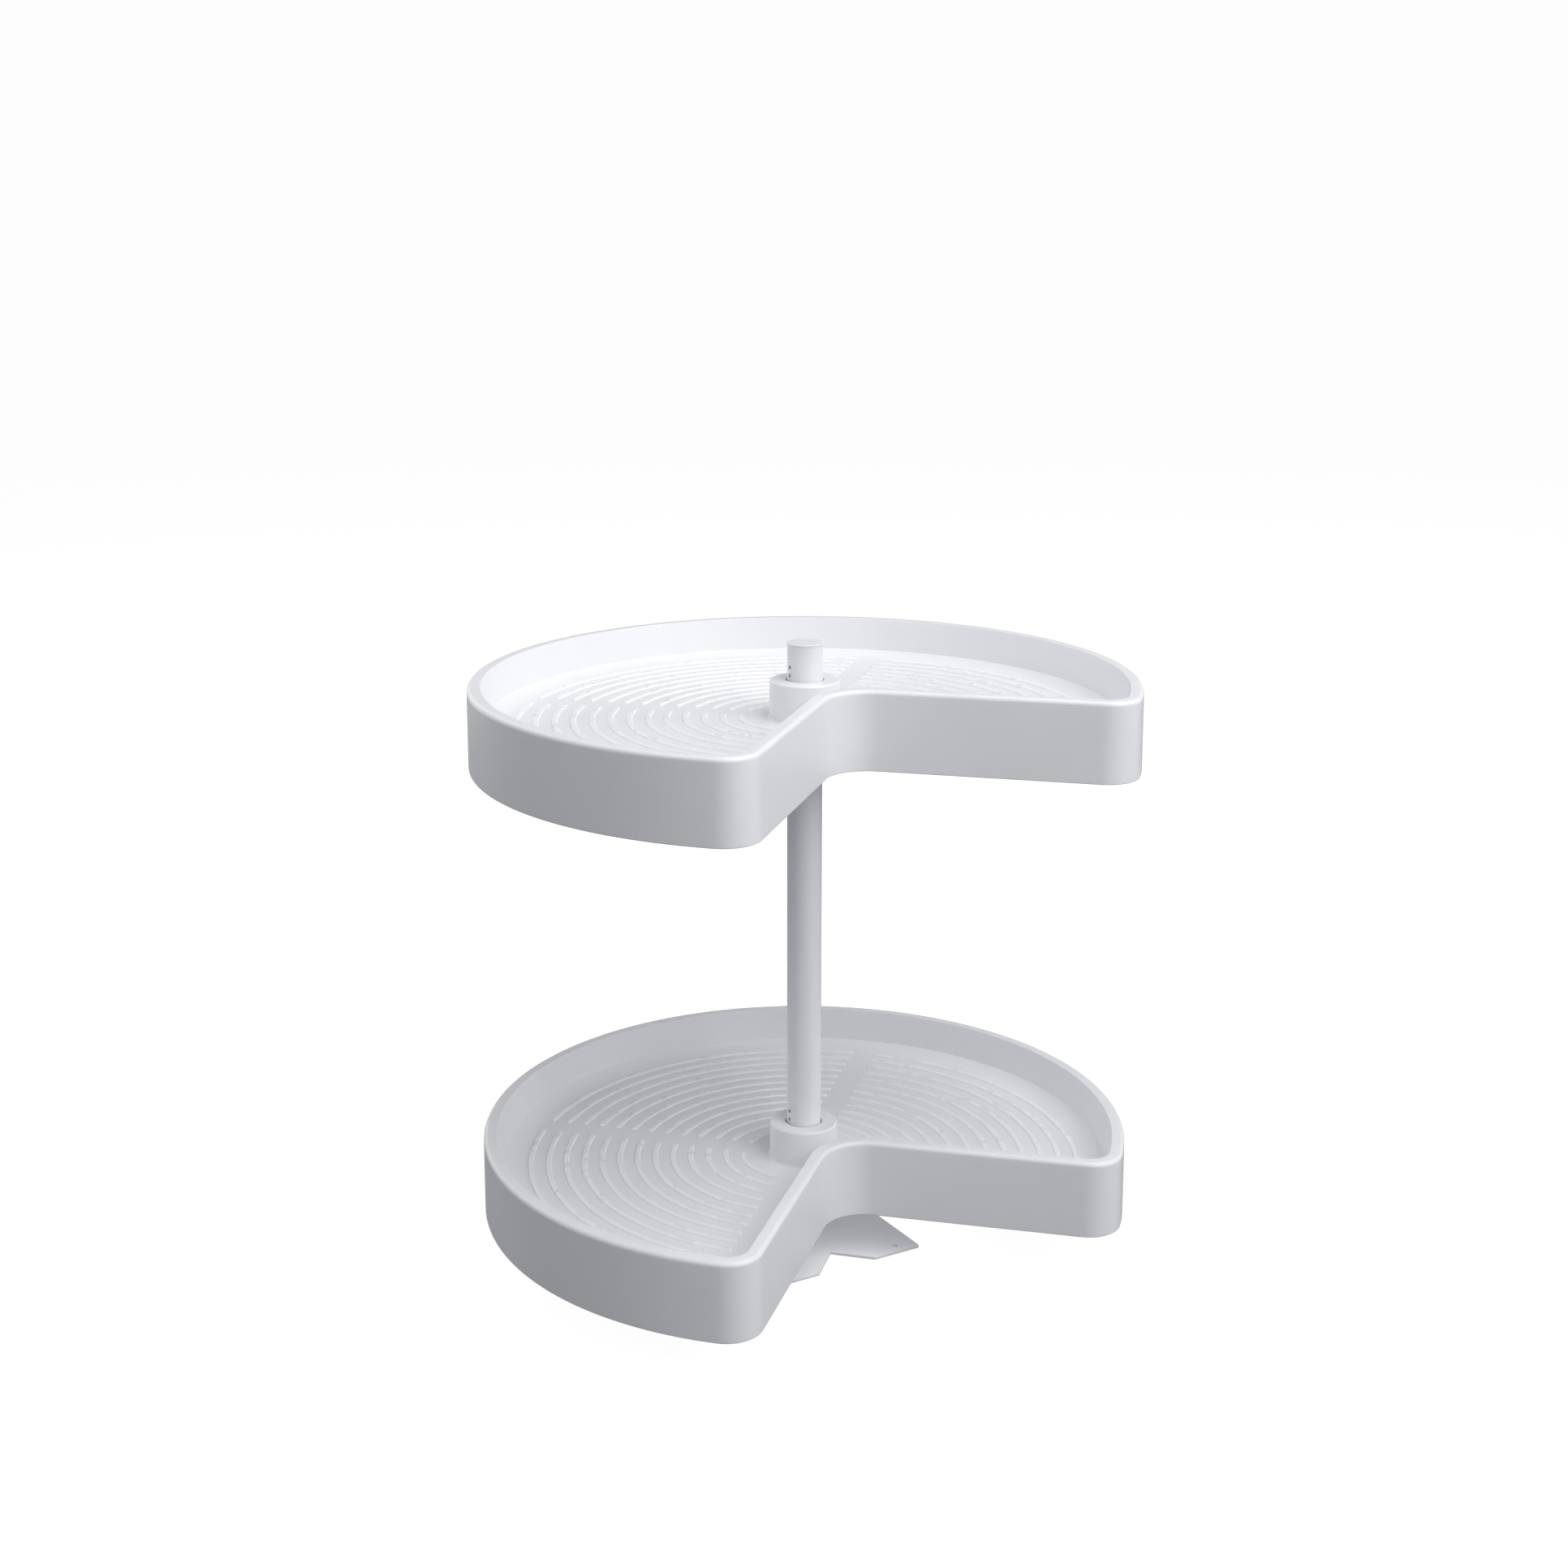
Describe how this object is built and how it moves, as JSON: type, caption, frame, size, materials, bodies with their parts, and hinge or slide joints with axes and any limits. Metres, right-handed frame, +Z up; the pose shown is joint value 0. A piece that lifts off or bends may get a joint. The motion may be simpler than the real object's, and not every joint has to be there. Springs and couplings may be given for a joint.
{
  "type": "lazy susan turntable",
  "caption": "Two-tier corner-cabinet turntable: notched round trays that turn freely on ball bearings around a fixed post with a square base plate.",
  "frame": {"origin": "on the post's axis, at the underside of the base plate", "axes": "+Z up along the post; at rest the trays' notches and the base plate's notch open towards -Y; +X to the right seen from the front"},
  "size_m": [0.61, 0.5317, 0.586],
  "materials": {
    "white_plastic": "satin moulded white plastic with a fine grain",
    "white_paint": "satin white powder coat",
    "zinc_steel": "bright zinc plate",
    "bearing_steel": "ground and polished",
    "nylon": "natural nylon"
  },
  "bodies": {
    "post": {"base_plate": "white_paint", "foot_plug": "zinc_steel", "foot_screws": "zinc_steel", "foot_pin": "bearing_steel", "pole": "white_paint", "pole_cap": "white_plastic", "lower_support_collar": "white_paint", "lower_collar_pin": "zinc_steel", "lower_pin_clip": "bearing_steel", "lower_fixed_race": "bearing_steel", "upper_support_collar": "white_paint", "upper_collar_pin": "zinc_steel", "upper_pin_clip": "bearing_steel", "upper_fixed_race": "bearing_steel"},
    "lower_turntable": {"lower_tray": "white_plastic", "lower_hub_bush": "nylon", "lower_turning_race": "bearing_steel"},
    "upper_turntable": {"upper_tray": "white_plastic", "upper_hub_bush": "nylon", "upper_turning_race": "bearing_steel"},
    "lower_bearing": {"lower_ball_cage": "nylon", "lower_balls": "bearing_steel"},
    "upper_bearing": {"upper_ball_cage": "nylon", "upper_balls": "bearing_steel"}
  },
  "joints": [
    {"name": "lower_turn", "type": "hinge", "parent": "post", "child": "lower_turntable", "pos_m": [0, 0, 0.1215], "axis": [0, 0, 1], "continuous": true},
    {"name": "upper_turn", "type": "hinge", "parent": "post", "child": "upper_turntable", "pos_m": [0, 0, 0.5535], "axis": [0, 0, 1], "continuous": true},
    {"name": "lower_cage_turn", "type": "hinge", "parent": "post", "child": "lower_bearing", "pos_m": [0, 0, 0.066], "axis": [0, 0, 1], "continuous": true},
    {"name": "upper_cage_turn", "type": "hinge", "parent": "post", "child": "upper_bearing", "pos_m": [0, 0, 0.498], "axis": [0, 0, 1], "continuous": true}
  ],
  "couplings": [
    {"joint": "lower_cage_turn", "follows": "lower_turn", "ratio": 0.5},
    {"joint": "upper_cage_turn", "follows": "upper_turn", "ratio": 0.5}
  ]
}
